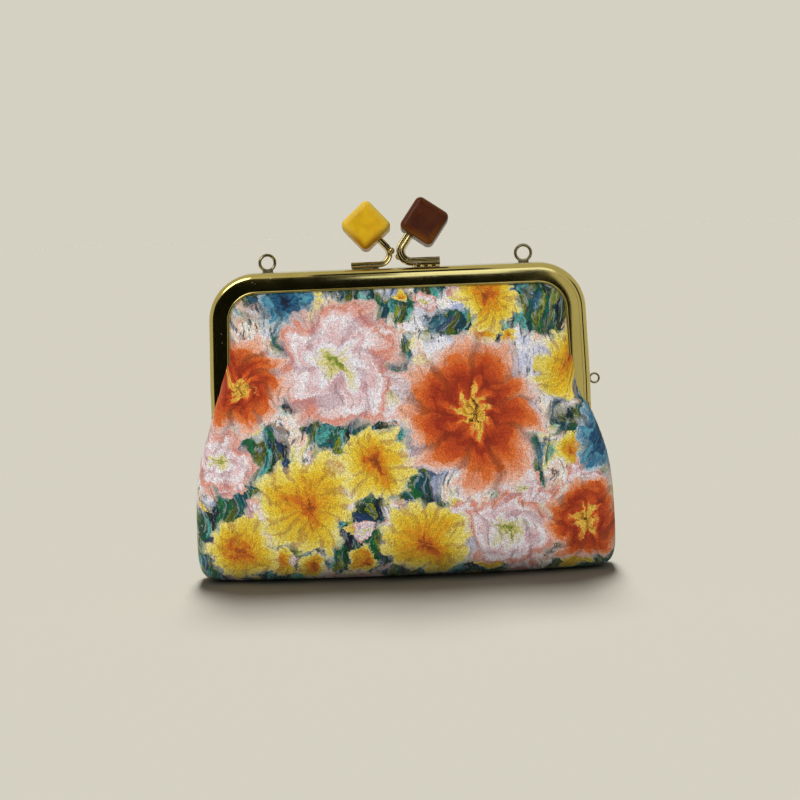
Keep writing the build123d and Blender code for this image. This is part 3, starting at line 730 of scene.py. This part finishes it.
def printed_cotton(name, spread, shift):
    """Plain-woven cotton printed with a loose painted garden: matt, with flat brush dabs and
    soaked edges, and threads showing through. Spread is in mm of print for a metre of cloth,
    negative for the other way up, and shift in mm."""
    material, tree, shader = new_material(name)
    flat = add(tree, "UVMap", uv_map="cloth")
    place = add(
        tree,
        "VectorMath",
        {0: flat, 1: (spread, spread, 0), 2: (*shift, 0)},
        operation="MULTIPLY_ADD",
    )
    # The brush's hand: places bent over 12 mm, frayed over 2 mm, and drawn into dabs 2.8 mm wide.
    slow = add(
        tree, "TexNoise", {"Vector": place, "Scale": 0.08, "Detail": 1.0}, noise_dimensions="2D"
    ).outputs["Color"]
    bent = add(
        tree, "VectorMath", {0: slow, 1: (BEND, BEND, 0), 2: place}, operation="MULTIPLY_ADD"
    )
    quick = add(
        tree,
        "TexNoise",
        {"Vector": place, "Scale": 0.55, "Detail": 3.0, "Roughness": 0.65},
        noise_dimensions="2D",
    ).outputs["Color"]
    ragged = add(
        tree, "VectorMath", {0: quick, 1: (FRAY, FRAY, 0), 2: bent}, operation="MULTIPLY_ADD"
    )
    mean = (BEND + FRAY) / 2
    centred = add(tree, "VectorMath", {0: ragged, 1: (mean, mean, 0)}, operation="SUBTRACT")
    dab = add(
        tree,
        "TexVoronoi",
        {"Vector": centred, "Scale": 0.36, "Smoothness": 0.5},
        voronoi_dimensions="2D",
        feature="SMOOTH_F1",
    )
    brush = add(
        tree, "Mix", {"Factor": 0.5, 4: centred, 5: dab.outputs["Position"]}, data_type="VECTOR"
    )

    # Ground: a pale wash, 25 mm from tint to tint, with beds of dark leaves on it.
    wash = add(
        tree,
        "TexNoise",
        {"Vector": brush, "Scale": 0.04, "Detail": 3.0, "Roughness": 0.7},
        noise_dimensions="2D",
    )
    ground = add(tree, "ValToRGB", {"Fac": wash})
    set_stops(ground, GROUND_TINTS)
    strokes = add(
        tree, "Mapping", {"Vector": centred, "Rotation": (0, 0, 0.7), "Scale": (0.5, 0.17, 1)}
    )
    leaf = add(tree, "TexVoronoi", {"Vector": strokes, "Scale": 1.0}, voronoi_dimensions="2D")
    leaf_tint = add(tree, "SeparateColor", {0: leaf.outputs["Color"]})
    leaves = add(tree, "ValToRGB", {"Fac": leaf_tint})
    set_stops(leaves, LEAF_TINTS)
    bed = add(tree, "TexNoise", {"Vector": brush, "Scale": 0.055, "Detail": 2.0})
    leafy = add(tree, "MapRange", {0: bed, 1: 0.44, 2: 0.5})
    bristle = add(
        tree,
        "TexNoise",
        {"Vector": strokes, "Scale": 2.6, "Detail": 3.0, "Roughness": 0.7},
        noise_dimensions="2D",
    )
    depth = add(tree, "MapRange", {0: bristle, 1: NOISE_LOW, 2: NOISE_HIGH, 3: 0.25, 4: 1.6})
    brushed = add(tree, "VectorMath", {0: leaves, 3: depth}, operation="SCALE")
    coat = add(tree, "Mix", {"Factor": leafy, 6: ground, 7: brushed}, data_type="RGBA")

    # Coats over it: dry strokes, strewn blooms, large blooms, and a few brown strokes on top.
    coat = dry_strokes(tree, bent, coat, 0.9, 0.57, "#123844", 0.85)
    coat = dry_strokes(tree, bent, coat, -0.6, 0.56, "#CFDCE6", 0.3)
    blooms = []
    for kind, pitch, size, start in STREWN:
        moved = add(tree, "VectorMath", {0: brush, 1: (start, start, 0)}, operation="ADD")
        spot = add(
            tree, "TexVoronoi", {"Vector": moved, "Scale": 1 / pitch}, voronoi_dimensions="2D"
        )
        pick = add(tree, "SeparateColor", {0: spot.outputs["Color"]})
        grown = add(tree, "MapRange", {0: pick, 1: 0.3, 2: 0.6, 3: 0.01, 4: size})
        blooms.append((kind, moved, spot.outputs["Position"], grown, pick.outputs[1]))
    for kind, x, up, radius, turn in BLOOMS:
        blooms.append((kind, brush, (x, up, 0), radius, turn))
    for kind, where, centre, radius, turn in blooms:
        coat = add(
            tree,
            "Group",
            {"Under": coat, "Place": where, "Centre": centre, "Radius": radius, "Turn": turn},
            node_tree=kind,
        )
    coat = dry_strokes(tree, bent, coat, 0.3, 0.6, "#5E3A1C", 0.4)

    # Ink soaked unevenly into the threads.
    soak = add(
        tree,
        "TexNoise",
        {"Vector": place, "Scale": 0.9, "Detail": 4.0, "Roughness": 0.75},
        noise_dimensions="2D",
    )
    grain = add(
        tree, "TexNoise", {"Vector": place, "Scale": 2.4, "Detail": 1.0}, noise_dimensions="2D"
    )
    mottle = add(tree, "Math", {0: soak, 1: 0.8, 2: -0.07}, operation="MULTIPLY_ADD")
    speckle = add(tree, "Math", {0: grain, 1: 1.1, 2: mottle}, operation="MULTIPLY_ADD")
    printed = add(tree, "VectorMath", {0: coat, 3: speckle}, operation="SCALE")
    weave = plain_weave(tree, place, {"Scale": PRINT_WEAVE, "Distortion": 0.6, "Detail": 1.0})
    slub = add(tree, "Math", {0: soak, 1: 1.2, 2: weave}, operation="MULTIPLY_ADD")
    bump = add(tree, "Bump", {"Height": slub, "Distance": 0.06 * MM, "Strength": 0.8})
    fill(shader, {"Base Color": printed, "Roughness": 0.82, "Normal": bump})
    fill(shader, {"Specular IOR Level": 0.3, "Sheen Weight": 0.12, "Sheen Roughness": 0.5})
    return material


def plain_cotton(name, tints):
    """Undyed cotton in plain weave: matt, with slubs, and darker in broad random patches."""
    material, tree, shader = new_material(name)
    flat = add(tree, "UVMap", uv_map="cloth")
    place = add(tree, "VectorMath", {0: flat, 3: 1 / MM}, operation="SCALE")
    # Broad random patches, about 12 mm across, in which the cloth is darker.
    broad_patch = add(
        tree, "TexNoise", {"Vector": place, "Scale": 0.08, "Detail": 4.0}, noise_dimensions="2D"
    )
    grain = add(
        tree, "TexNoise", {"Vector": place, "Scale": 2.0, "Detail": 2.0}, noise_dimensions="2D"
    )
    tone = add(tree, "Math", {0: broad_patch, 1: grain}, operation="MULTIPLY")
    skin = add(tree, "ValToRGB", {"Fac": tone})
    set_stops(skin, [(0.12, tints[0]), (0.4, tints[1])])
    weave = plain_weave(tree, place, {"Scale": LINING_WEAVE, "Distortion": 0.8})
    bump = add(tree, "Bump", {"Height": weave, "Distance": 0.05 * MM})
    fill(shader, {"Base Color": skin, "Roughness": 0.9, "Normal": bump, "Sheen Weight": 0.1})
    return material


def paper_cord(name):
    """Kraft paper twisted into a cord: matt, with slanting creases 1.4 mm apart, darker in the
    grooves between them as painted shade, and paler on their ridges."""
    material, tree, shader = new_material(name)
    place = add(tree, "TexCoord").outputs["Object"]
    twist = add(
        tree,
        "TexWave",
        {"Vector": place, "Scale": 260.0, "Distortion": 2.0, "Detail": 2.0},
        bands_direction="DIAGONAL",
    ).outputs[1]
    fibre = add(tree, "TexNoise", {"Vector": place, "Scale": 900.0, "Detail": 3.0})
    # The twist's ridges: their height, and painted shade that darkens the grooves between them.
    twist_height_and_shade = add(tree, "Math", {0: fibre, 1: 0.5, 2: twist}, operation="MULTIPLY_ADD")
    skin = add(tree, "ValToRGB", {"Fac": twist_height_and_shade})
    set_stops(skin, [(0.2, "#A8906A"), (0.6, "#CDBF9C"), (1.0, "#DDD2B6")])
    bump = add(tree, "Bump", {"Height": twist_height_and_shade, "Distance": 0.1 * MM})
    fill(shader, {"Base Color": skin, "Roughness": 0.85, "Normal": bump})
    return material


gold = gold_plate("pale_gold_plated_steel", ("#B8A85C", "#D2C27C"), 0.09, 0.05, crown=26.0)
# The clasp's strips: the frame's plate in paler tints, as painted light where they mirror the dark
# clasp card.
clasp_gold_painted_pale = gold_plate("pale_gold_plated_strip", ("#BBA86C", "#DCCB98"), 0.08, 0.02)
# The eyes' wire: a greyer plate than the frame's, darkened further as painted shade.
wire_gold_painted_dark = gold_plate("pale_gold_plated_wire", ("#746D50", "#A8A07C"), 0.12, 0.02)
# Painted light and shade on the beads' edges: the amber bead gets a paler rim and a darker
# underside, the brown one a lighter underside.
amber = cast_resin(
    "amber_cast_resin",
    centre=(-9.2, 3.16, 115.28),
    turn=-42,
    body_tints=("#BE9000", "#C89C04", "#CFA714"),
    painted_rim_tint="#CDB040",
    painted_underside_tint="#94600A",
)
brown = cast_resin(
    "brown_cast_resin",
    centre=(10.0, 0.37, 115.98),
    turn=35,
    body_tints=("#3B1500", "#431A01", "#4C2004"),
    painted_rim_tint="#4A2108",
    painted_underside_tint="#70400E",
)
FRONT_TOP = 21.0  # mm of cloth from the bottom seam to where the front starts to rise
cotton = printed_cotton("painted_garden_cotton", 1 / MM, (0, -FRONT_TOP))
# The rear is cut from the same print, the other way up.
rear_cotton = printed_cotton("painted_garden_cotton_rear", -1 / MM, (7, 112))
lining = plain_cotton("lining_cotton", ("#BFB49C", "#E6DECB"))
paper = paper_cord("twisted_paper")

for material, node_names in (
    (gold, ("front_frame", "rear_frame", "hinge_rivet_left", "hinge_rivet_right")),
    (clasp_gold_painted_pale, ("front_clasp_arm", "rear_clasp_arm")),
    (wire_gold_painted_dark, ("top_eye_left", "top_eye_right", "side_eye")),
    (amber, ("yellow_bead",)),
    (brown, ("brown_bead",)),
    (paper, ("front_paper_cord", "rear_paper_cord")),
):
    for node_name in node_names:
        dress(node_name, material)
for piece, print_material in ((front_cloth, cotton), (rear_cloth, rear_cotton)):
    dress(piece, print_material)
for piece in (front_lining, rear_lining):
    dress(piece, lining)

# ---------------------------------------------------------------------------------------------
# Cloth pieces in place of the CAD's upper and pouch panels, which are hidden
# ---------------------------------------------------------------------------------------------

for piece, side, stays in (
    (front_cloth, "front", "panel"),
    (rear_cloth, "rear", "panel"),
    (front_lining, "front", "lining"),
    (rear_lining, "rear", "lining"),
):
    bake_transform(piece)
    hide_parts(f"{side}_upper_{stays}", f"{side}_pouch_{stays}")
